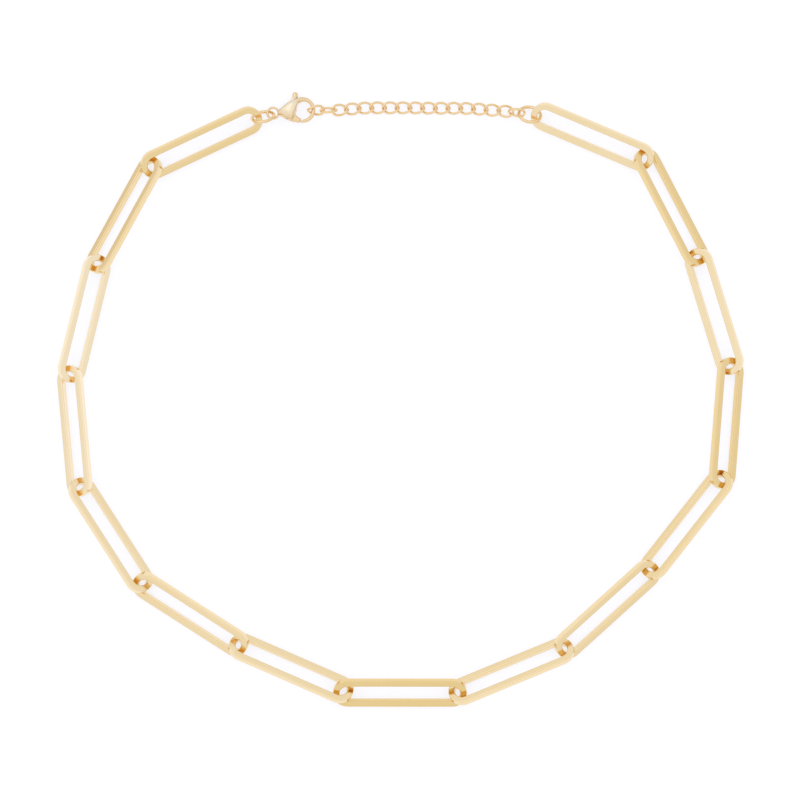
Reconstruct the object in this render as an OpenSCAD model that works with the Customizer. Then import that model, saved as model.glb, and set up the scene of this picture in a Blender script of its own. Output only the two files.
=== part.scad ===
// Paperclip chain necklace: fifteen long links of square wire, a curb extender
// chain and a lobster clasp, lying fastened on a table. Millimetres. X runs to
// the right of the view, Y runs away from the viewer, Z is up from the table.

/* [Paperclip links] */
// outer length of one paperclip link
link_l = 29; // [27:0.5:31]
// outer width of one paperclip link
link_w = 6.4; // [6:0.1:7]
// side of the square wire
link_t = 1.4; // [1.2:0.05:1.5]
// rounding of the wire's edges
link_edge = 0.2; // [0.1:0.05:0.3]
// how far two neighbouring links slide together from tight
joint_play = 1.2; // [1:0.1:1.4]

/* [Jump rings] */
// outer diameter of a jump ring
ring_d = 5.65; // [5.4:0.05:6]
// wire of a jump ring
ring_t = 0.76; // [0.6:0.02:0.84]

/* [Extender chain] */
// outer length of one curb link
curb_l = 4.05; // [3.8:0.05:4.4]
// outer width of one curb link
curb_w = 2.95; // [2.8:0.05:3.2]
// wire of a curb link
curb_t = 0.55; // [0.45:0.05:0.6]
// clearance between the wires of two curb links
curb_gap = 0.13; // [0.1:0.01:0.2]

/* [Clasp] */
// from the middle of the eye to the far side of the hook
clasp_l = 9.4; // [8.9:0.05:9.8]
// height of the hook across the clasp
clasp_w = 5.85; // [5.6:0.05:6.1]
// thickness of the body at its belly
clasp_t = 3; // [2.8:0.1:3.2]
// outer diameter of the eye
eye_d = 3; // [2.85:0.05:3.15]
// wire of the eye
eye_t = 0.52; // [0.46:0.02:0.58]
// thickness of the lever between the body's cheeks
lever_t = 0.9; // [0.8:0.05:1]
// clearance around the lever
lever_gap = 0.12; // [0.1:0.01:0.15]
// diameter of the thumb knob
knob_d = 1.28; // [1.1:0.02:1.3]
// height of the thumb knob over the body
knob_h = 1.25; // [1:0.05:1.5]
// diameter of the pivot pin
pin_d = 0.6; // [0.5:0.05:0.7]
// clearance around the pivot pin
pin_gap = 0.05; // [0.03:0.01:0.08]

/* [Hidden] */
GOLD = [0.93, 0.8, 0.58];

// Where the middle of the clasp's jump ring lies on the table, in link lengths.
LAY_AT = [-1.0487, 2.1372] * link_l;

// The route of the paperclip chain, one row a link from the clasp's side round
// to the extender's: heading in degrees, rise of the outer bar over the inner
// one as a share of the wire, and at the joint after it the slide and the
// sideways shift as shares of the play.
HEADING = 0; RISE = 1; SLIDE = 2; SHIFT = 3;
CHAIN = [
    [205.8, 1.94,  1.24, 0],
    [242.2, -1.98, 1.12, -0.06],
    [257.2, 2,     0.86, 0.22],
    [276.1, -1.98, 1.04, -0.04],
    [303.3, 2,     0.94, -0.06],
    [327.7, -2.04, 1.06, 0.08],
    [336.7, 1.9,   1.24, 0.3],
    [360,   -1.82, 0.94, 0.12],
    [382.3, 2,     0.8,  -0.22],
    [401.9, -1.82, 0.66, 0.02],
    [411.5, 2.04,  0.94, 0.04],
    [444.8, -1.78, 0.84, 0.02],
    [466.3, 1.94,  0.92, -0.06],
    [476.6, -1.82, 1.08, -0.26],
    [516.6, 2.04,  0,    0]];

// The route of the extender, one row a link from the hook to the jump ring:
// heading, roll and twist to one side in degrees, and the slide together at
// the joint after it as a share of the wire.
ROLL = 1; TWIST = 2; SLIP = 3;
CURB = [
    [1.5,  52.5, 29, 0.01],
    [1,    -56, 6, 0.46],
    [5,    -5, 43, 0],
    [6,    0,   40, 0],
    [2,    0,   40, 0],
    [0,    0,   40, 0],
    [0,    0,   40, 0],
    [0,    0,   40, 0],
    [-1,   0,   40, 0],
    [-1,   0,   40, 0],
    [0,    0,   40, 0],
    [0,    0,   40, 0],
    [-2,   0,   40, 0],
    [-5,   0,   40, 0],
    [-4.5, 5,   40, 0],
    [-7,   20,  40, 0.5],
    [-9,   64,  10, 0]];

function dir(a) = [cos(a), sin(a)];
function side(a) = [sin(a), -cos(a)];
function unit(v) = v / norm(v);
function sgn(v) = v < 0 ? -1 : 1;
function fullness(v, e) = sgn(v) * pow(abs(v), e);

// ---- the two jump rings, the clasp and the extender, from the clasp's ring on
ring_r = (ring_d - ring_t) / 2;
RING_A_TURN = 9;
RING_A_LEAN = 52;
RING_B_LEAN = 36;
CLASP_TURN = 4;
EYE_TURN = 24.5;
EYE_PLAY = 0.86 * ring_t;
eye_r = (eye_d - eye_t) / 2;
eye_away = ring_r + eye_r - (ring_t + eye_t) / 2 - EYE_PLAY;
clasp_z = clasp_t / 2;
eye_at = LAY_AT + eye_away * dir(EYE_TURN);
hook_in = 0.904 * clasp_l;
curb_r = (curb_l - curb_t) / 2;
curb_step = curb_l - 2 * curb_t - curb_gap;
HOOK_PLAY = 0.867 * curb_t;
CURB_0 = eye_at + (hook_in + curb_l / 2 - curb_t - HOOK_PLAY) * dir(CLASP_TURN);

function curb_at(i) = i == 0 ? CURB_0 :
    curb_at(i - 1) + (curb_step - CURB[i - 1][SLIP] * curb_t) / 2
    * (dir(CURB[i - 1][HEADING]) + dir(CURB[i][HEADING]));
RING_B_TURN = -11;
RING_B_PLAY = 0.763 * ring_t;
ring_b_at = curb_at(len(CURB) - 1)
    + (curb_r + ring_r - (curb_t + ring_t) / 2 - RING_B_PLAY) * dir(RING_B_TURN);

// ---- the paperclip chain, bent until its two ends meet the jump rings
MID_HEADING = 360;
LAST = len(CHAIN) - 1;
function link_heading(i, bend) = MID_HEADING + bend * (CHAIN[i][HEADING] - MID_HEADING);
function joint_step(i, bend) =
    let (a = link_heading(i, bend), b = link_heading(i + 1, bend),
         u = unit(dir(a) + dir(b)))
    (link_l / 2 - link_t) * (dir(a) + dir(b))
    - joint_play * CHAIN[i][SLIDE] * u
    + joint_play * CHAIN[i][SHIFT] * [u[1], -u[0]];
function link_at(i, bend) = i == 0 ? [0, 0] :
    link_at(i - 1, bend) + joint_step(i - 1, bend);
// The middle of a jump ring, from the tip of the link that it goes through.
RING_PLAY = [0.632, 0.658] * ring_t;
RING_SHIFT = [-0.464, -0.571] * link_t;
function ring_past_tip(e) = ring_d / 2 - ring_t - link_t - RING_PLAY[e];
function seat_a(bend) =
    let (h = link_heading(0, bend))
    -(link_l / 2 + ring_past_tip(0)) * dir(h) + RING_SHIFT[0] * side(h);
function seat_b(bend) =
    let (h = link_heading(LAST, bend))
    link_at(LAST, bend) + (link_l / 2 + ring_past_tip(1)) * dir(h)
    + RING_SHIFT[1] * side(h);
function opening(bend) = norm(seat_b(bend) - seat_a(bend));
closing = ring_b_at - LAY_AT;
function solve_bend(lo, hi, n) = n == 0 ? (lo + hi) / 2 :
    let (mid = (lo + hi) / 2)
    opening(mid) > norm(closing) ? solve_bend(mid, hi, n - 1) : solve_bend(lo, mid, n - 1);
bend = solve_bend(0.8, 1.2, 24);
loop_v = seat_b(bend) - seat_a(bend);
loop_turn = atan2(closing[1], closing[0]) - atan2(loop_v[1], loop_v[0]);
function turned(v, a) = [v[0] * cos(a) - v[1] * sin(a), v[0] * sin(a) + v[1] * cos(a)];
function link_place(i) = LAY_AT + turned(link_at(i, bend) - seat_a(bend), loop_turn);
function link_lean(i) = asin(CHAIN[i][RISE] * link_t / (link_w - link_t));

module wire_section() {
    e = link_edge;
    square([link_t - 2 * e, link_t], center = true);
    square([link_t, link_t - 2 * e], center = true);
    for (x = [-1, 1])
        for (y = [-1, 1])
            translate([x * (link_t / 2 - e), y * (link_t / 2 - e)])
                circle(r = e, $fn = 24);
}

module paperclip_link() {
    straight = link_l - link_w;
    for (s = [-1, 1]) {
        translate([-straight / 2, s * (link_w - link_t) / 2, 0])
            rotate([90, 0, 90])
                linear_extrude(height = straight) wire_section();
        translate([s * straight / 2, 0, 0])
            rotate([0, 0, s * 90 - 180])
                rotate_extrude(angle = 180, $fn = 64)
                    translate([(link_w - link_t) / 2, 0]) wire_section();
    }
}

// A link laid on the table by its low bar.
module link_on_table(i) {
    lean = link_lean(i);
    z = (link_w - link_t) / 2 * abs(sin(lean))
        + (link_t / 2 - link_edge) * (abs(sin(lean)) + cos(lean)) + link_edge;
    color(GOLD)
        translate([link_place(i)[0], link_place(i)[1], z])
            rotate([0, 0, link_heading(i, bend) + loop_turn])
                rotate([-lean, 0, 0])
                    paperclip_link();
}

module jump_ring() {
    rotate_extrude($fn = 64)
        translate([ring_r, 0]) circle(d = ring_t, $fn = 24);
}

module jump_ring_clasp() {
    color(GOLD)
        translate([LAY_AT[0], LAY_AT[1], ring_r * sin(RING_A_LEAN) + ring_t / 2])
            rotate([0, 0, RING_A_TURN]) rotate([-RING_A_LEAN, 0, 0]) jump_ring();
}

module jump_ring_extender() {
    color(GOLD)
        translate([ring_b_at[0], ring_b_at[1], ring_r * sin(RING_B_LEAN) + ring_t / 2])
            rotate([0, 0, RING_B_TURN]) rotate([-RING_B_LEAN, 0, 0]) jump_ring();
}

// ---- curb links: an oval whose two ends are twisted to opposite sides
CURB_RINGS = 20;
CURB_SIDES = 6;
curb_b = (curb_w - curb_t) / 2;
function curb_mid(t, tw) =
    let (x = curb_r * fullness(cos(t), 0.9), y = curb_b * fullness(sin(t), 0.9),
         a = -tw * x / curb_r)
    [x, y * cos(a), y * sin(a)];
function curb_normal(t, tw) =
    let (a = -tw * fullness(cos(t), 0.9)) [0, -sin(a), cos(a)];
function curb_ring(t, tw) =
    let (p = curb_mid(t, tw),
         along = unit(curb_mid(t + 1, tw) - curb_mid(t - 1, tw)),
         out = unit(cross(along, curb_normal(t, tw))),
         up = cross(out, along))
    [for (k = [0:CURB_SIDES - 1])
        p + curb_t / 2 * (cos(k * 360 / CURB_SIDES) * out + sin(k * 360 / CURB_SIDES) * up)];

module curb_link(tw) {
    n = CURB_RINGS;
    m = CURB_SIDES;
    pts = [for (j = [0:n - 1]) each curb_ring((j + 0.5) * 360 / n, tw)];
    faces = [for (j = [0:n - 1], k = [0:m - 1])
        let (a = j * m, b = ((j + 1) % n) * m, k2 = (k + 1) % m) each
        [[a + k, a + k2, b + k2], [a + k, b + k2, b + k]]];
    polyhedron(points = pts, faces = faces, convexity = 4);
}

// Half of the height that a rolled curb link stands over the table.
function curb_high(i) = curb_t / 2 + max([for (t = [0:6:354])
    let (p = curb_mid(t, CURB[i][TWIST]))
    abs(p[1] * sin(CURB[i][ROLL]) + p[2] * cos(CURB[i][ROLL]))]);
// The first link hangs on the hook, so it lies as high as the hook does.
function curb_z(i) = i == 0 ? clasp_z - 0.145 * curb_t : curb_high(i);

module curb_on_table(i) {
    color(GOLD)
        translate([curb_at(i)[0], curb_at(i)[1], curb_z(i)])
            rotate([0, 0, CURB[i][HEADING]])
                rotate([CURB[i][ROLL], 0, 0])
                    curb_link(CURB[i][TWIST]);
}

// ---- clasp: eye, teardrop body and hook, lofted over cross bars from the outer
// edge to the inner one. Columns: outer x and y, inner x and y as shares of the
// clasp's length and width, half thickness as a share of the belly's, and how
// square the section is.
CLASP = [
    [0.117, 0.123,  0.117, -0.099, 0.24, 1],
    [0.16,  0.162,  0.151, -0.126, 0.38, 0.95],
    [0.218, 0.244,  0.202, -0.169, 0.58, 0.85],
    [0.287, 0.33,   0.266, -0.241, 0.76, 0.75],
    [0.356, 0.4,    0.34,  -0.306, 0.92, 0.7],
    [0.436, 0.465,  0.426, -0.357, 1,    0.68],
    [0.489, 0.499,  0.468, -0.197, 0.96, 0.68],
    [0.537, 0.518,  0.504, -0.06,  0.88, 0.7],
    [0.585, 0.53,   0.545, 0.06,   0.76, 0.76],
    [0.617, 0.538,  0.57,  0.154,  0.66, 0.82],
    [0.649, 0.545,  0.609, 0.253,  0.55, 0.9],
    [0.686, 0.547,  0.67,  0.333,  0.46, 1],
    [0.729, 0.542,  0.711, 0.352,  0.4,  1],
    [0.772, 0.528,  0.75,  0.354,  0.36, 1],
    [0.847, 0.479,  0.798, 0.337,  0.33, 1],
    [0.911, 0.4,    0.843, 0.292,  0.31, 1],
    [0.955, 0.309,  0.872, 0.239,  0.3,  1],
    [0.987, 0.2,    0.896, 0.164,  0.29, 1],
    [1,     0.085,  0.904, 0.08,   0.28, 1],
    [0.999, -0.026, 0.904, -0.007, 0.28, 1],
    [0.984, -0.133, 0.894, -0.085, 0.28, 1],
    [0.953, -0.232, 0.872, -0.159, 0.28, 1],
    [0.909, -0.32,  0.838, -0.222, 0.28, 1],
    [0.849, -0.391, 0.796, -0.274, 0.27, 1],
    [0.78,  -0.438, 0.747, -0.306, 0.26, 1],
    [0.713, -0.451, 0.702, -0.32,  0.25, 1]];
CLASP_SIDES = 16;
// The pivot, and the angles at which the gate's end starts and stops round it.
pivot = [0.395 * clasp_l, -0.154 * clasp_w];
TIP_FROM = -23;
TIP_TO = -38.5;
hook_tip_r = 0.2915 * clasp_l;
hook_tip_back = 0.4 * lever_gap;
gate_r = hook_tip_r - lever_gap;

function clasp_bar(o, i, half, e) =
    let (mid = (o + i) / 2, arm = (o - i) / 2)
    [for (k = [0:CLASP_SIDES - 1])
        let (t = k * 360 / CLASP_SIDES, c = fullness(cos(t), e), s = fullness(sin(t), e))
        [mid[0] + arm[0] * c, mid[1] + arm[1] * c, half * s]];
function clasp_ring(r) =
    clasp_bar([r[0] * clasp_l, r[1] * clasp_w], [r[2] * clasp_l, r[3] * clasp_w],
              r[4] * clasp_t / 2, r[5]);
hook_tip = clasp_bar(pivot + (hook_tip_r + hook_tip_back) * dir(TIP_TO),
                     pivot + (hook_tip_r + hook_tip_back) * dir(TIP_FROM - 1.5), 0.24 * clasp_t / 2, 1);

module clasp_shell() {
    rings = concat([for (r = CLASP) clasp_ring(r)], [hook_tip]);
    n = len(rings);
    m = CLASP_SIDES;
    pts = [for (r = rings) each r];
    faces = concat(
        [for (j = [0:n - 2], k = [0:m - 1])
            let (a = j * m, b = (j + 1) * m, k2 = (k + 1) % m) each
            [[a + k, b + k, b + k2], [a + k, b + k2, a + k2]]],
        [[for (k = [0:m - 1]) k]],
        [[for (k = [m - 1:-1:0]) (n - 1) * m + k]]);
    polyhedron(points = pts, faces = faces, convexity = 6);
}

// The slot between the two cheeks, wide enough for the lever's whole swing.
module lever_slot() {
    translate([0, 0, -lever_t / 2 - lever_gap])
        linear_extrude(height = lever_t + 2 * lever_gap)
            polygon([for (p = [
                [0.213, 0.615], [0.213, 0.137], [0.289, -0.128], [0.309, -0.265],
                [0.351, -0.598], [0.596, -0.598], [0.596, 0.051], [0.553, 0.072], [0.527, 0.103],
                [0.53, 0.197], [0.553, 0.299], [0.612, 0.444], [0.636, 0.615]])
                [p[0] * clasp_l, p[1] * clasp_w]]);
}

// How deep the blind pivot pin goes into each cheek.
pin_seat = 0.35;
pin_l = lever_t + 2 * lever_gap + 2 * pin_seat;

module in_clasp() {
    translate([eye_at[0], eye_at[1], clasp_z])
        rotate([0, 0, CLASP_TURN]) children();
}

module clasp_body() {
    color(GOLD)
        in_clasp() {
            rotate_extrude($fn = 48)
                translate([eye_r, 0]) circle(d = eye_t, $fn = 20);
            difference() {
                clasp_shell();
                lever_slot();
                translate([pivot[0], pivot[1], -pin_l / 2 - pin_gap])
                    cylinder(d = pin_d + 2 * pin_gap, h = pin_l + 2 * pin_gap, $fn = 32);
            }
        }
}

module clasp_pin() {
    color(GOLD)
        in_clasp()
            translate([pivot[0], pivot[1], -pin_l / 2])
                cylinder(d = pin_d, h = pin_l, $fn = 32);
}

KNOB_FOOT = [0.54, 0.546];
KNOB_LEAN = 10;

module clasp_lever() {
    foot = [KNOB_FOOT[0] * clasp_l, KNOB_FOOT[1] * clasp_w];
    neck = [
        [0.602, 0.537], [0.585, 0.444], [0.517, 0.222], [0.491, 0.077], [0.53, 0.021],
        [0.538, -0.017], [0.534, -0.106], [0.543, -0.147], [0.566, -0.188], [0.599, -0.229],
        [0.644, -0.274]];
    heel = [
        [0.601, -0.438], [0.543, -0.417], [0.479, -0.39], [0.431, -0.369], [0.372, -0.333],
        [0.328, -0.256], [0.322, -0.12], [0.34, 0.034], [0.367, 0.222], [0.42, 0.427],
        [0.452, 0.513], [0.479, 0.574]];
    color(GOLD)
        in_clasp() {
            difference() {
                translate([0, 0, -lever_t / 2])
                    linear_extrude(height = lever_t)
                        polygon(concat(
                            [for (p = neck) [p[0] * clasp_l, p[1] * clasp_w]],
                            [for (k = [0:4]) pivot
                                + gate_r * dir(TIP_FROM + k * (TIP_TO - TIP_FROM) / 4)],
                            [for (p = heel) [p[0] * clasp_l, p[1] * clasp_w]]));
                translate([pivot[0], pivot[1], -lever_t])
                    cylinder(d = pin_d + 2 * pin_gap, h = 2 * lever_t, $fn = 32);
            }
            translate([foot[0], foot[1], 0])
                rotate([0, 0, -KNOB_LEAN])
                    rotate([-90, 0, 0]) {
                        cylinder(d = knob_d, h = knob_h - knob_d / 2, $fn = 32);
                        translate([0, 0, knob_h - knob_d / 2]) sphere(d = knob_d, $fn = 32);
                    }
        }
}

for (i = [0:14])
    link_on_table(i);
for (i = [0:16])
    curb_on_table(i);
jump_ring_clasp();
jump_ring_extender();
clasp_body();
clasp_lever();
clasp_pin();
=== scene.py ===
"""A fastened paperclip-chain necklace of pale gold, lying on a pale floor.

Fifteen long links of square wire, a curb extender chain, two jump rings and a
lobster clasp. Metres; X runs to the right of the view, Z is up.
"""
import math

import bmesh
import bpy
import numpy as np
from mathutils import Matrix, Vector


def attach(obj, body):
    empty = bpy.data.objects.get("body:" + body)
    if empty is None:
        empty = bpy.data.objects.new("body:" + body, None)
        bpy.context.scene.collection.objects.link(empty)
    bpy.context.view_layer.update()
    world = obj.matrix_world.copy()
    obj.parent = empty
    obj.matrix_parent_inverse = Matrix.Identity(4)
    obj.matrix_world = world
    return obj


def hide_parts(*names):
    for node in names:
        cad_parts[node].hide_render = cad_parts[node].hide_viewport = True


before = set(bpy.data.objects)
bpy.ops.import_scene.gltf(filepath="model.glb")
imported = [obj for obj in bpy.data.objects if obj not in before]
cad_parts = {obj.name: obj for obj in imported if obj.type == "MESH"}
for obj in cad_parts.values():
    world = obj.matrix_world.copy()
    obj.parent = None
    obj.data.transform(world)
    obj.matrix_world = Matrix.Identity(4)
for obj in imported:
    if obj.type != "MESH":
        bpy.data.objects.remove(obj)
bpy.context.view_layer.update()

# A millimetre, and how near two points are merged, in metres.
MM = 0.001
TOUCHING = 1e-7

LINKS = [f"link_{i:02d}" for i in range(1, 16)]
CURBS = [f"curb_{i:02d}" for i in range(1, 18)]
RINGS = ["jump_ring_clasp", "jump_ring_extender"]

# Sizes in millimetres, the same as the solids'.
LINK = {"length": 29.0, "width": 6.4, "wire": 1.4, "edge": 0.2}
CURB = {"length": 4.05, "width": 2.95, "wire": 0.55}
RING = {"diameter": 5.65, "wire": 0.76}

# The pieces of the extender: their links, and how far those are twisted, in degrees.
EXTENDER = [
    ("extender_first_link", CURBS[:1], 29),
    ("extender_second_link", CURBS[1:2], 6),
    ("extender_third_link", CURBS[2:3], 43),
    ("extender_links", CURBS[3:-1], 40),
    ("extender_last_link", CURBS[-1:], 10)]

# How pale the plating of each paperclip link is, from deep (0) to pale (1).
LINK_TONES = [0.16, 0.41, 1.0, 0.95, 0.63, 0.52, 0.59, 0.0, 0.55, 0.44, 0.39, 0.15, 0.72,
              0.15, 0.59]
EVEN_TONE = 0.5


# ---- where each link lies, read from its solid
def surface_frame(name):
    """The middle and the long, wide and flat axes of a solid, from its surface."""
    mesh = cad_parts[name].data
    mesh.calc_loop_triangles()
    co = np.array([v.co for v in mesh.vertices], float)
    tri = co[np.array([t.vertices for t in mesh.loop_triangles])]
    area = np.linalg.norm(np.cross(tri[:, 1] - tri[:, 0], tri[:, 2] - tri[:, 0]), axis=1) / 2
    middle = (tri.mean(1) * area[:, None]).sum(0) / area.sum()
    tri = tri - middle
    total = tri.sum(1)
    spread = (np.einsum("n,nki,nkj->ij", area, tri, tri)
              + np.einsum("n,ni,nj->ij", area, total, total)) / 12
    axes = np.linalg.eigh(spread)[1][:, ::-1]
    if axes[2, 2] < 0:
        axes[:, 2] *= -1
    if np.linalg.det(axes) < 0:
        axes[:, 1] *= -1
    return Vector(middle), Matrix(axes.tolist())


def seats(names, tones):
    """An object with one point for each solid, with the solid's turn and its tone."""
    mesh = bpy.data.meshes.new("seats")
    found = [surface_frame(n) for n in names]
    mesh.from_pydata([f[0] for f in found], [], [])
    turn = mesh.attributes.new("turn", "FLOAT_VECTOR", "POINT")
    for i, (_, axes) in enumerate(found):
        turn.data[i].vector = axes.to_euler()[:]
    tone = mesh.attributes.new("tone", "FLOAT", "POINT")
    tone.data.foreach_set("value", tones)
    obj = bpy.data.objects.new("seats", mesh)
    bpy.context.scene.collection.objects.link(obj)
    return obj


# ---- small helpers for node trees
def in_metres(sizes):
    """The sizes under their inputs' names, in metres."""
    return {name.capitalize(): value * MM for name, value in sizes.items()}


def add(tree, kind, inputs=None, **settings):
    """A new node with its settings and with values or links on its inputs."""
    made = tree.nodes.new(kind)
    for name, value in settings.items():
        setattr(made, name, value)
    for name, value in (inputs or {}).items():
        if isinstance(value, bpy.types.NodeSocket):
            tree.links.new(value, made.inputs[name])
        else:
            made.inputs[name].default_value = value
    return made


def maths(tree, operation, *values, **settings):
    return add(tree, "ShaderNodeMath", dict(enumerate(values)), operation=operation,
               **settings).outputs[0]


def new_tree(name, sizes):
    """An empty geometry tree with one named input for each size, and those inputs."""
    tree = bpy.data.node_groups.new(name, "GeometryNodeTree")
    tree.interface.new_socket(name="Geometry", in_out="INPUT", socket_type="NodeSocketGeometry")
    tree.interface.new_socket(name="Geometry", in_out="OUTPUT", socket_type="NodeSocketGeometry")
    for size, value in sizes.items():
        kind = "NodeSocketInt" if isinstance(value, int) else "NodeSocketFloat"
        socket = tree.interface.new_socket(name=size, in_out="INPUT", socket_type=kind)
        socket.default_value = value
    return tree, {s.name: s for s in tree.nodes.new("NodeGroupInput").outputs}


def swept_on_seats(tree, given, path, section, finish):
    """Sweeps the section along the path, puts a copy on every seat and ends the tree."""
    wire = add(tree, "GeometryNodeCurveToMesh", {"Curve": path, "Profile Curve": section})
    turn = add(tree, "GeometryNodeInputNamedAttribute", {"Name": "turn"},
               data_type="FLOAT_VECTOR").outputs["Attribute"]
    placed = add(tree, "GeometryNodeInstanceOnPoints",
                 {"Points": given["Geometry"], "Instance": wire.outputs[0], "Rotation": turn})
    real = add(tree, "GeometryNodeRealizeInstances", {"Geometry": placed.outputs[0]})
    smooth = add(tree, "GeometryNodeSetShadeSmooth", {"Geometry": real.outputs[0]})
    dressed = add(tree, "GeometryNodeSetMaterial",
                  {"Geometry": smooth.outputs[0], "Material": finish})
    tree.links.new(dressed.outputs[0], tree.nodes.new("NodeGroupOutput").inputs[0])
    return tree


def grown(name, tree, names, tones, sizes, finish):
    """Runs the tree on the solids' seats and keeps its result as a plain mesh."""
    points = seats(names, tones)
    grow = points.modifiers.new("grow", "NODES")
    grow.node_group = tree
    for item in tree.interface.items_tree:
        if item.in_out == "INPUT" and item.name in sizes:
            grow[item.identifier] = sizes[item.name]
    bpy.context.view_layer.update()
    ready = points.evaluated_get(bpy.context.evaluated_depsgraph_get())
    mesh = bpy.data.meshes.new_from_object(ready)
    points.modifiers.remove(grow)
    bpy.data.objects.remove(points)
    return piece(name, mesh, names, finish, "necklace")


def piece(name, mesh, stands_for, finish, body):
    """A finished piece of the object that rides on its body."""
    tidy = bmesh.new()
    tidy.from_mesh(mesh)
    bmesh.ops.remove_doubles(tidy, verts=tidy.verts, dist=TOUCHING)
    bmesh.ops.recalc_face_normals(tidy, faces=tidy.faces)
    tidy.to_mesh(mesh)
    tidy.free()
    mesh.materials.clear()
    mesh.materials.append(finish)
    mesh.shade_smooth()
    mesh.name = name
    obj = bpy.data.objects.new(name, mesh)
    bpy.context.scene.collection.objects.link(obj)
    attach(obj, body)
    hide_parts(*stands_for)
    return obj


# ---- finishes
# A painted highlight on the clasp's body: where its colour is painted palest, on its shoulder
# between the eye and the knob, how far from there it is quite pale and no longer pale, and how pale
# it is beyond.
HIGHLIGHT_SPOT = (-0.0247, 0.0646, 0.0015)
HIGHLIGHT_FULL_TO, HIGHLIGHT_END, HIGHLIGHT_BEYOND = 0.0014, 0.0034, 0.28
# The plating's slow drift of colour, its low swells and its grain, in waves a metre,
# how much the colour drifts, and how deep the swells and the grain are.
DRIFT_SCALE, SWELL_SCALE, GRAIN_SCALE = 70.0, 260.0, 5200.0
DRIFT_SPAN, SWELL_DEPTH, GRAIN_DEPTH = 0.08, 0.00004, 0.000003
# Corners are painted paler, partly as wear and partly as a painted highlight along the edges, and
# worn corners are smoother.
CORNER_PAINTED_HIGHLIGHT, CORNER_SMOOTH = 0.2, 0.3


def gold(name, deep, pale, rough, seed, toned=True):
    """Pale gold plate, deeper or paler by the tone of its seat, or else paler round one spot as a
    painted highlight; its corners are painted paler too.
    """
    mat = bpy.data.materials.new(name)
    mat.use_nodes = True
    tree = mat.node_tree
    tree.nodes.clear()
    where = add(tree, "ShaderNodeTexCoord").outputs["Object"]
    placed = add(tree, "ShaderNodeMapping",
                 {"Vector": where, "Location": (seed, seed / 2, 0)}).outputs[0]
    drift = add(tree, "ShaderNodeTexNoise",
                {"Vector": placed, "Scale": DRIFT_SCALE, "Detail": 2.0}).outputs["Fac"]
    swell = add(tree, "ShaderNodeTexNoise",
                {"Vector": placed, "Scale": SWELL_SCALE, "Detail": 1.0}).outputs["Fac"]
    grain = add(tree, "ShaderNodeTexNoise",
                {"Vector": placed, "Scale": GRAIN_SCALE, "Detail": 3.0}).outputs["Fac"]
    corner = add(tree, "ShaderNodeMapRange",
                 {"Value": add(tree, "ShaderNodeNewGeometry").outputs["Pointiness"],
                  "From Min": 0.51, "From Max": 0.62, "To Min": 0.0, "To Max": 1.0}).outputs[0]
    share = add(tree, "ShaderNodeMapRange",
                {"Value": drift, "From Min": 0.25, "From Max": 0.75,
                 "To Min": -DRIFT_SPAN, "To Max": DRIFT_SPAN}).outputs[0]
    if toned:
        tone = add(tree, "ShaderNodeAttribute", attribute_name="tone").outputs["Fac"]
        share = maths(tree, "ADD", share, tone)
    else:
        # Not toned: a painted highlight, the colour paler round one spot on the clasp's shoulder.
        away = add(tree, "ShaderNodeVectorMath", {0: where, 1: HIGHLIGHT_SPOT}, operation="DISTANCE")
        share = maths(tree, "ADD", share, add(
            tree, "ShaderNodeMapRange",
            {"Value": away.outputs["Value"], "From Min": HIGHLIGHT_FULL_TO, "From Max": HIGHLIGHT_END,
             "To Min": 1.0, "To Max": HIGHLIGHT_BEYOND}, interpolation_type="SMOOTHSTEP").outputs[0])
    # Corners painted paler: partly wear, partly a painted highlight along the edges.
    share = maths(tree, "ADD", share, maths(tree, "MULTIPLY", corner, CORNER_PAINTED_HIGHLIGHT),
                  use_clamp=True)
    shade = add(tree, "ShaderNodeMix", {"Factor": share}, data_type="RGBA")
    shade.inputs[6].default_value = (*deep, 1)
    shade.inputs[7].default_value = (*pale, 1)
    worn = add(tree, "ShaderNodeMapRange",
               {"Value": grain, "From Min": 0.3, "From Max": 0.7,
                "To Min": rough * 0.88, "To Max": rough * 1.15}).outputs[0]
    worn = maths(tree, "SUBTRACT", worn, maths(tree, "MULTIPLY", corner, rough * CORNER_SMOOTH))
    low = add(tree, "ShaderNodeBump",
              {"Height": swell, "Strength": 0.12, "Distance": SWELL_DEPTH})
    fine = add(tree, "ShaderNodeBump",
               {"Height": grain, "Strength": 0.05, "Distance": GRAIN_DEPTH,
                "Normal": low.outputs[0]})
    metal = add(tree, "ShaderNodeBsdfPrincipled",
                {"Base Color": shade.outputs[2], "Roughness": worn,
                 "Normal": fine.outputs[0], "Metallic": 1.0})
    add(tree, "ShaderNodeOutputMaterial", {"Surface": metal.outputs[0]})
    return mat


link_finish = gold("paperclip_gold", (0.84, 0.635, 0.30), (0.948, 0.804, 0.563), 0.09, 1.0)
curb_finish = gold("curb_gold", (0.85, 0.62, 0.33), (0.92, 0.72, 0.44), 0.1, 5.0)
ring_finish = gold("ring_gold", (0.85, 0.62, 0.33), (0.92, 0.72, 0.44), 0.1, 8.0)
# The clasp's pale colour is laid round one spot on its shoulder: a painted highlight.
clasp_finish = gold("clasp_gold", (0.82, 0.59, 0.31), (0.9, 0.79, 0.61), 0.22, 11.0, toned=False)


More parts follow.
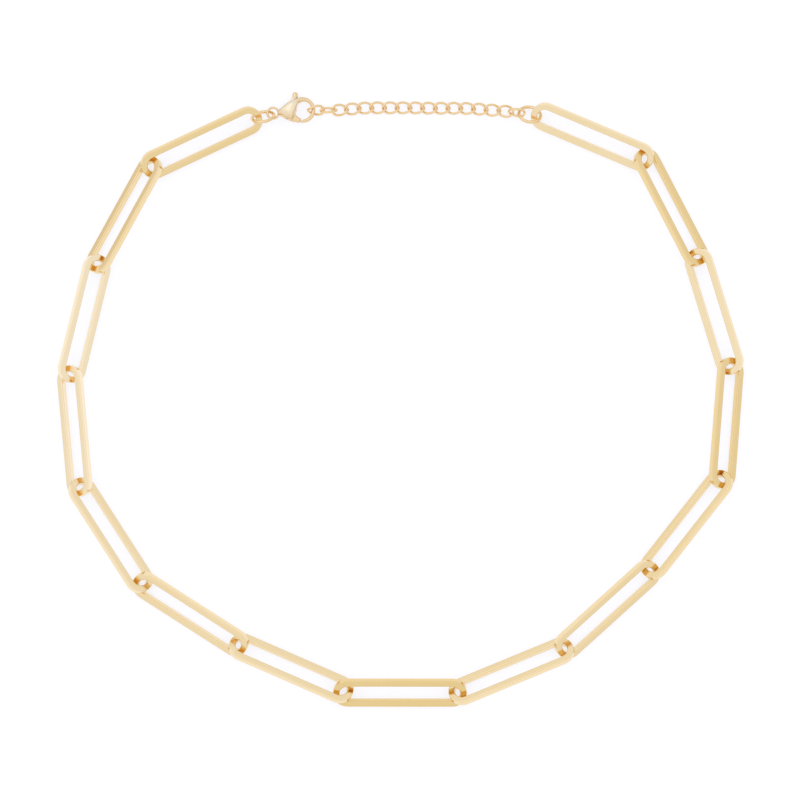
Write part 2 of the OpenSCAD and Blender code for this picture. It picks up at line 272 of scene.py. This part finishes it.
# ---- paperclip links: square wire with rounded edges round a long racetrack
def rounded_square(tree, given):
    """A square outline whose corners are arcs, with a point on the flat beside each arc."""
    count = maths(tree, "ADD", given["Corner steps"], 3.0)
    ring = add(tree, "GeometryNodeCurvePrimitiveCircle",
               {"Resolution": maths(tree, "MULTIPLY", count, 4.0)})
    index = add(tree, "GeometryNodeInputIndex").outputs[0]
    corner = maths(tree, "FLOOR", maths(tree, "DIVIDE", maths(tree, "ADD", index, 0.25), count))
    step = maths(tree, "SUBTRACT", index, maths(tree, "MULTIPLY", corner, count))
    share = maths(tree, "DIVIDE", maths(tree, "SUBTRACT", step, 1.0), given["Corner steps"],
                  use_clamp=True)
    angle = maths(tree, "MULTIPLY", maths(tree, "ADD", corner, share), math.pi / 2)
    middle = maths(tree, "MULTIPLY", maths(tree, "ADD", corner, 0.5), math.pi / 2)
    past = maths(tree, "SUBTRACT",
                 maths(tree, "GREATER_THAN", step, maths(tree, "SUBTRACT", count, 1.5)),
                 maths(tree, "LESS_THAN", step, 0.5))
    beside = maths(tree, "MULTIPLY", past, given["Flat margin"])
    out = maths(tree, "MULTIPLY", math.sqrt(2), maths(
        tree, "SUBTRACT", maths(tree, "DIVIDE", given["Wire"], 2.0), given["Edge"]))
    cos_a, sin_a = maths(tree, "COSINE", angle), maths(tree, "SINE", angle)

    def along(centre, arc, tangent):
        total = maths(tree, "ADD", maths(tree, "MULTIPLY", out, centre),
                      maths(tree, "MULTIPLY", given["Edge"], arc))
        return maths(tree, "ADD", total, maths(tree, "MULTIPLY", beside, tangent))

    x = along(maths(tree, "COSINE", middle), cos_a, maths(tree, "MULTIPLY", sin_a, -1.0))
    y = along(maths(tree, "SINE", middle), sin_a, cos_a)
    spot = add(tree, "ShaderNodeCombineXYZ", {"X": x, "Y": y}).outputs[0]
    return add(tree, "GeometryNodeSetPosition",
               {"Geometry": ring.outputs[0], "Position": spot}).outputs[0]


def link_tree(finish):
    tree, given = new_tree("paperclip_link", in_metres(LINK) | {
        "Flat margin": 0.05 * MM, "Corner steps": 5, "Steps": 28})
    per_end = maths(tree, "ADD", given["Steps"], 1.0)
    ring = add(tree, "GeometryNodeCurvePrimitiveCircle",
               {"Resolution": maths(tree, "MULTIPLY", per_end, 2.0)})
    index = add(tree, "GeometryNodeInputIndex").outputs[0]
    left = maths(tree, "GREATER_THAN", index, maths(tree, "SUBTRACT", per_end, 0.5))
    step = maths(tree, "SUBTRACT", index, maths(tree, "MULTIPLY", left, per_end))
    share = maths(tree, "DIVIDE", step, given["Steps"])
    turn = maths(tree, "MULTIPLY",
                 maths(tree, "ADD", maths(tree, "SUBTRACT", share, 0.5), left), math.pi)
    bend = maths(tree, "DIVIDE", maths(tree, "SUBTRACT", given["Width"], given["Wire"]), 2.0)
    run = maths(tree, "DIVIDE", maths(tree, "SUBTRACT", given["Length"], given["Width"]), 2.0)
    end = maths(tree, "SUBTRACT", 1.0, maths(tree, "MULTIPLY", left, 2.0))
    x = maths(tree, "ADD", maths(tree, "MULTIPLY", maths(tree, "COSINE", turn), bend),
              maths(tree, "MULTIPLY", end, run))
    y = maths(tree, "MULTIPLY", maths(tree, "SINE", turn), bend)
    spot = add(tree, "ShaderNodeCombineXYZ", {"X": x, "Y": y}).outputs[0]
    path = add(tree, "GeometryNodeSetPosition", {"Geometry": ring.outputs[0], "Position": spot})
    return swept_on_seats(tree, given, path.outputs[0], rounded_square(tree, given), finish)


# ---- curb links: ovals twisted to opposite sides at their two ends
def curb_tree(finish):
    tree, given = new_tree("curb_link", in_metres(CURB) | {
        "Twist": math.radians(40), "Fullness": 0.9, "Steps": 56, "Sides": 16})
    ring = add(tree, "GeometryNodeCurvePrimitiveCircle", {"Resolution": given["Steps"]})
    index = add(tree, "GeometryNodeInputIndex").outputs[0]
    turn = maths(tree, "MULTIPLY", maths(tree, "DIVIDE", index, given["Steps"]), math.tau)

    def full(wave):
        value = maths(tree, wave, turn)
        return maths(tree, "MULTIPLY", maths(tree, "SIGN", value),
                     maths(tree, "POWER", maths(tree, "ABSOLUTE", value), given["Fullness"]))

    long_r = maths(tree, "DIVIDE", maths(tree, "SUBTRACT", given["Length"], given["Wire"]), 2.0)
    wide_r = maths(tree, "DIVIDE", maths(tree, "SUBTRACT", given["Width"], given["Wire"]), 2.0)
    along, across = full("COSINE"), maths(tree, "MULTIPLY", full("SINE"), wide_r)
    lean = maths(tree, "MULTIPLY", maths(tree, "MULTIPLY", along, given["Twist"]), -1.0)
    spot = add(tree, "ShaderNodeCombineXYZ", {
        "X": maths(tree, "MULTIPLY", along, long_r),
        "Y": maths(tree, "MULTIPLY", across, maths(tree, "COSINE", lean)),
        "Z": maths(tree, "MULTIPLY", across, maths(tree, "SINE", lean))}).outputs[0]
    path = add(tree, "GeometryNodeSetPosition", {"Geometry": ring.outputs[0], "Position": spot})
    section = add(tree, "GeometryNodeCurvePrimitiveCircle",
                  {"Resolution": given["Sides"],
                   "Radius": maths(tree, "DIVIDE", given["Wire"], 2.0)})
    return swept_on_seats(tree, given, path.outputs[0], section.outputs[0], finish)


# ---- jump rings
def ring_tree(finish):
    tree, given = new_tree("jump_ring", in_metres(RING) | {"Steps": 80, "Sides": 20})
    path = add(tree, "GeometryNodeCurvePrimitiveCircle",
               {"Resolution": given["Steps"],
                "Radius": maths(tree, "DIVIDE", maths(
                    tree, "SUBTRACT", given["Diameter"], given["Wire"]), 2.0)})
    section = add(tree, "GeometryNodeCurvePrimitiveCircle",
                  {"Resolution": given["Sides"],
                   "Radius": maths(tree, "DIVIDE", given["Wire"], 2.0)})
    return swept_on_seats(tree, given, path.outputs[0], section.outputs[0], finish)


grown("paperclip_links", link_tree(link_finish), LINKS, LINK_TONES, in_metres(LINK),
      link_finish)
curb = curb_tree(curb_finish)
for name, links, twist in EXTENDER:
    grown(name, curb, links, [EVEN_TONE] * len(links),
          in_metres(CURB) | {"Twist": math.radians(twist)}, curb_finish)
grown("jump_rings", ring_tree(ring_finish), RINGS, [EVEN_TONE] * 2, in_metres(RING),
      ring_finish)


# ---- clasp, shaped in millimetres: X from the middle of its eye towards the hook.
# Each row is a bar across the casting: outer x and y, inner x and y, half
# thickness, and how full its section is, where 1 is an ellipse.
CLASP_ROWS = [
    [1.1, 0.72, 1.1, -0.58, 0.36, 1],
    [1.5, 0.95, 1.42, -0.74, 0.57, 0.95],
    [2.05, 1.43, 1.9, -0.99, 0.87, 0.9],
    [2.7, 1.93, 2.5, -1.41, 1.14, 0.88],
    [3.35, 2.34, 3.2, -1.79, 1.38, 0.88],
    [4.1, 2.72, 4.06, -2.12, 1.5, 0.86],
    [4.6, 2.92, 4.6, -1.28, 1.44, 0.88],
    [5.05, 3.03, 4.98, -0.46, 1.32, 0.9],
    [5.5, 3.1, 5.27, 0.28, 1.14, 0.94],
    [5.8, 3.15, 5.44, 0.86, 0.99, 0.97],
    [6.1, 3.19, 5.72, 1.48, 0.825, 1],
    [6.45, 3.2, 6.3, 1.95, 0.69, 1],
    [6.85, 3.17, 6.68, 2.06, 0.6, 1],
    [7.26, 3.09, 7.05, 2.07, 0.54, 1],
    [7.96, 2.8, 7.5, 1.97, 0.495, 1],
    [8.56, 2.34, 7.92, 1.71, 0.465, 1],
    [8.98, 1.81, 8.2, 1.4, 0.45, 1],
    [9.28, 1.17, 8.42, 0.96, 0.435, 1],
    [9.4, 0.5, 8.5, 0.47, 0.42, 1],
    [9.39, -0.15, 8.5, -0.04, 0.42, 1],
    [9.25, -0.78, 8.4, -0.5, 0.42, 1],
    [8.96, -1.36, 8.2, -0.93, 0.42, 1],
    [8.54, -1.87, 7.88, -1.3, 0.42, 1],
    [7.98, -2.29, 7.48, -1.6, 0.405, 1],
    [7.33, -2.56, 7.02, -1.79, 0.39, 1],
    [6.7, -2.64, 6.6, -1.87, 0.375, 1]]
HOOK_TIP = [5.865, -2.611, 6.212, -2.051, 0.36, 1]
EYE = {"ring": 1.24, "wire": 0.26}
PIVOT = (3.713, -0.9009)
PIN_HOLE = 0.35
CASTING_BORE, LEVER_BORE = 0.97, 0.8
SLOT = [
    (2, 3.6), (2, 0.8), (2.72, -0.75), (2.9, -1.55), (3.3, -3.5), (5.6, -3.5), (5.6, 0.3),
    (5.2, 0.42), (4.95, 0.6), (4.98, 1.15), (5.2, 1.75), (5.75, 2.6), (5.98, 3.6)]
SLOT_HALF = 0.57
LEVER = [
    (5.66, 3.14), (5.5, 2.6), (4.86, 1.3), (4.62, 0.45), (4.98, 0.12), (5.06, -0.1),
    (5.02, -0.62), (5.1, -0.86), (5.32, -1.1), (5.63, -1.34), (6.05, -1.6), (6.12, -1.92),
    (6.05, -2.09), (5.96, -2.24), (5.87, -2.39), (5.76, -2.53), (5.65, -2.56), (5.1, -2.44),
    (4.5, -2.28), (4.05, -2.16), (3.5, -1.95), (3.08, -1.5), (3.03, -0.7), (3.2, 0.2),
    (3.45, 1.3), (3.95, 2.5), (4.25, 3), (4.5, 3.36)]
LEVER_HALF = 0.45
LEVER_CROWN = {"rim": 0.5, "edge": 0.3}
# How fine each skin is, and how often it is smoothed before and after it is cut.
CASTING_SKIN, LEVER_SKIN = (0.055, 8), (0.045, 6)
AFTER_CUT = 3
CLASP_TURN = math.radians(4)
# The knob's neck is given as heights over its foot with the radius there.
KNOB = {"foot": (5.076, 3.194), "lean": math.radians(10), "radius": 0.675, "height": 1.24,
        "neck": [(-0.5, 0.42), (-0.1, 0.57)], "full_at": 0.15}


def flowing(rows, cuts):
    """The rows with more between each two, on a smooth curve through them all."""
    rows = np.array(rows, float)
    ends = np.vstack([2 * rows[0] - rows[1], rows, 2 * rows[-1] - rows[-2]])
    made = []
    for a, b, c, d in zip(ends, ends[1:], ends[2:], ends[3:]):
        for s in np.arange(cuts) / cuts:
            made.append(b + 0.5 * s * (c - a + s * (2 * a - 5 * b + 4 * c - d
                                                     + s * (3 * (b - c) + d - a))))
    return made + [rows[-1]]


def across(row, sides=48):
    """The outline of the section on one bar."""
    middle, arm = (row[:2] + row[2:4]) / 2, (row[:2] - row[2:4]) / 2
    t = np.arange(sides) * math.tau / sides
    c, s = np.cos(t), np.sin(t)
    c, s = np.sign(c) * np.abs(c) ** row[5], np.sign(s) * np.abs(s) ** row[5]
    return [(*(middle + arm * a), row[4] * b) for a, b in zip(c, s)]


def lofted(mesh, rings):
    """Joins the outlines into one closed skin."""
    loops = [[mesh.verts.new(p) for p in ring] for ring in rings]
    for one, two in zip(loops, loops[1:]):
        for k in range(len(one)):
            mesh.faces.new((one[k - 1], one[k], two[k], two[k - 1]))
    mesh.faces.new(loops[0])
    mesh.faces.new(loops[-1][::-1])


def plate(mesh, outline, half):
    """A flat plate of the given outline, as thick below the middle as above it."""
    lofted(mesh, [[(x, y, z) for x, y in outline] for z in (-half, half)])


def rod(mesh, at, radius, z_from, z_to, sides=48):
    turns = np.arange(sides) * math.tau / sides
    lofted(mesh, [[(at[0] + radius * math.cos(t), at[1] + radius * math.sin(t), z)
                   for t in turns] for z in (z_from, z_to)])


def torus(mesh, ring, wire, steps=96, sides=24):
    loops = [[mesh.verts.new(((ring + wire * math.cos(v)) * math.cos(u),
                              (ring + wire * math.cos(v)) * math.sin(u), wire * math.sin(v)))
              for v in np.arange(sides) * math.tau / sides]
             for u in np.arange(steps) * math.tau / steps]
    for k in range(steps):
        for j in range(sides):
            mesh.faces.new((loops[k - 1][j - 1], loops[k][j - 1], loops[k][j], loops[k - 1][j]))


def drawn(build, *inputs):
    """An object in the scene that holds the drawn form, with its faces outward."""
    form = bmesh.new()
    build(form, *inputs)
    bmesh.ops.recalc_face_normals(form, faces=form.faces)
    mesh = bpy.data.meshes.new("form")
    form.to_mesh(mesh)
    form.free()
    obj = bpy.data.objects.new("form", mesh)
    bpy.context.scene.collection.objects.link(obj)
    return obj


def crowned(mesh, outline, rim, edge):
    """Thins the plate over a rim, to a share of its half at the edge: softly domed faces."""
    at = np.array([v.co for v in mesh.vertices])
    gap = np.full(len(at), np.inf)
    for a, b in zip(np.array(outline), np.roll(outline, -1, axis=0)):
        run = b - a
        share = np.clip((at[:, :2] - a) @ run / (run @ run), 0, 1)
        gap = np.minimum(gap, np.linalg.norm(at[:, :2] - a - share[:, None] * run, axis=1))
    fall = np.sqrt(1 - (1 - np.minimum(gap / rim, 1)) ** 2)
    at[:, 2] *= np.where(np.abs(at[:, 2]) <= LEVER_HALF * 1.02, edge + (1 - edge) * fall, 1)
    mesh.vertices.foreach_set("co", at.ravel())


def cast(form, voxel, soften, *cutters, crown=None):
    """One seamless skin round the form, softened, cut and finely smoothed."""
    def skin(passes):
        return [("REMESH", {"mode": "VOXEL", "voxel_size": voxel}),
                ("SMOOTH", {"factor": 0.5, "iterations": passes})]

    cuts = [("BOOLEAN", {"operation": "DIFFERENCE", "solver": "EXACT", "object": cutter})
            for cutter in cutters]
    stages = skin(soften) + cuts + skin(AFTER_CUT)
    for kind, settings in stages:
        made = form.modifiers.new(kind.lower(), kind)
        for key, value in settings.items():
            setattr(made, key, value)
    bpy.context.view_layer.update()
    ready = form.evaluated_get(bpy.context.evaluated_depsgraph_get())
    mesh = bpy.data.meshes.new_from_object(ready)
    for obj in (form, *cutters):
        bpy.data.objects.remove(obj)
    if crown:
        crowned(mesh, crown, **LEVER_CROWN)
    mesh.transform(clasp_place)
    return mesh


def casting_form(mesh):
    lofted(mesh, [across(row) for row in flowing(CLASP_ROWS + [HOOK_TIP], 5)])
    torus(mesh, EYE["ring"], EYE["wire"])


def lever_form(mesh):
    plate(mesh, LEVER, LEVER_HALF)
    foot, up = Vector(KNOB["foot"]), Vector((math.sin(KNOB["lean"]), math.cos(KNOB["lean"])))
    side = Vector((up.y, -up.x))
    r, top = KNOB["radius"], KNOB["height"] - KNOB["radius"]
    profile = KNOB["neck"] + [(KNOB["full_at"], r)]
    profile += [(top + r * math.sin(a), r * math.cos(a))
                for a in np.linspace(0, math.pi / 2 - 0.05, 12)]
    turns = np.arange(40) * math.tau / 40
    lofted(mesh, [[(*(foot + up * rise + side * wide * math.cos(t)), wide * math.sin(t))
                   for t in turns] for rise, wide in profile])


pin_middle = surface_frame("clasp_pin")[0]
clasp_place = (Matrix.Translation(pin_middle) @ Matrix.Rotation(CLASP_TURN, 4, "Z")
               @ Matrix.Scale(MM, 4) @ Matrix.Translation((-PIVOT[0], -PIVOT[1], 0)))

piece("clasp_casting",
      cast(drawn(casting_form), *CASTING_SKIN, drawn(plate, SLOT, SLOT_HALF),
           drawn(rod, PIVOT, PIN_HOLE, -CASTING_BORE, CASTING_BORE)),
      ["clasp_body"], clasp_finish, "necklace")
piece("clasp_gate_and_knob",
      cast(drawn(lever_form), *LEVER_SKIN,
           drawn(rod, PIVOT, PIN_HOLE, -LEVER_BORE, LEVER_BORE), crown=LEVER),
      ["clasp_lever"], clasp_finish, "lever")
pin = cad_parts["clasp_pin"]
pin.data.materials.clear()
pin.data.materials.append(clasp_finish)


# ---- floor, light and camera
FLOOR_WHITE, FLOOR_GLOW = 0.36, 0.68
REACH = 3.0


def pale_floor():
    """Plain white card that glows a little, so that its shadows stay faint."""
    mat = bpy.data.materials.new("pale_floor")
    mat.use_nodes = True
    shader = mat.node_tree.nodes["Principled BSDF"]
    for name, value in {"Base Color": (FLOOR_WHITE, FLOOR_WHITE, FLOOR_WHITE, 1), "Roughness": 0.8,
                        "Specular IOR Level": 0.1, "Emission Color": (1, 1.012, 1.09, 1),
                        "Emission Strength": FLOOR_GLOW}.items():
        shader.inputs[name].default_value = value
    return mat


floor_mesh = bpy.data.meshes.new("floor")
floor_mesh.from_pydata([(x * REACH, y * REACH, 0) for x, y in ((-1, -1), (1, -1), (1, 1), (-1, 1))],
                       [], [(0, 1, 2, 3)])
floor_mesh.materials.append(pale_floor())
floor = bpy.data.objects.new("floor", floor_mesh)
bpy.context.scene.collection.objects.link(floor)

# Soft light from all round: bright overhead, dim and a little warm near the horizon.
# Each stop is the sine of the elevation, the light's strength there and its warmth.
SKY = [(0.0, 0.5, 1.3), (0.12, 0.68, 0.9), (0.32, 0.94, 0.1), (0.6, 0.95, 0), (0.86, 0.97, 0),
       (1.0, 1.05, 0)]
world = bpy.data.worlds.new("studio")
world.use_nodes = True
tree = world.node_tree
tree.nodes.clear()
aim = add(tree, "ShaderNodeTexCoord").outputs["Generated"]
split = add(tree, "ShaderNodeSeparateXYZ", {"Vector": aim})
ramp = add(tree, "ShaderNodeValToRGB", {"Fac": split.outputs["Z"]})
BRIGHTEST = 2.0
stops = ramp.color_ramp.elements
while len(stops) < len(SKY):
    stops.new(0.5)
for stop, (place, level, warmth) in zip(stops, SKY):
    stop.position = place
    level /= BRIGHTEST
    stop.color = (level, level * (1 - 0.1 * warmth), level * (1 - 0.22 * warmth), 1)
lean = maths(tree, "MULTIPLY_ADD", split.outputs["X"], -0.03 * BRIGHTEST, BRIGHTEST)
glow = add(tree, "ShaderNodeBackground", {"Color": ramp.outputs["Color"], "Strength": lean})
add(tree, "ShaderNodeOutputWorld", {"Surface": glow.outputs[0]})
bpy.context.scene.world = world

key = bpy.data.lights.new("upper_left_softbox", "AREA")
key.shape, key.size, key.energy = "DISK", 0.9, 0.35
softbox = bpy.data.objects.new("upper_left_softbox", key)
softbox.location = (-0.55, 0.6, 1.0)
softbox.rotation_euler = (-softbox.location).to_track_quat("-Z", "Y").to_euler()
bpy.context.scene.collection.objects.link(softbox)

TILT = math.radians(6)
DISTANCE = 0.62
LENS, SENSOR = 127, 36
AIM = Vector((-0.000104, -0.00076, 0))
lens = bpy.data.cameras.new("camera")
lens.sensor_width, lens.lens = SENSOR, LENS
lens.clip_start, lens.clip_end = 0.01, 20
camera = bpy.data.objects.new("camera", lens)
camera.location = AIM + DISTANCE * Vector((0, -math.sin(TILT), math.cos(TILT)))
camera.rotation_euler = (TILT, 0, 0)
bpy.context.scene.collection.objects.link(camera)
bpy.context.scene.camera = camera
bpy.context.scene.view_settings.view_transform = "Standard"
# Light goes back and forth many times where two gold links bear on each other.
bpy.context.scene.cycles.max_bounces = bpy.context.scene.cycles.glossy_bounces = 16
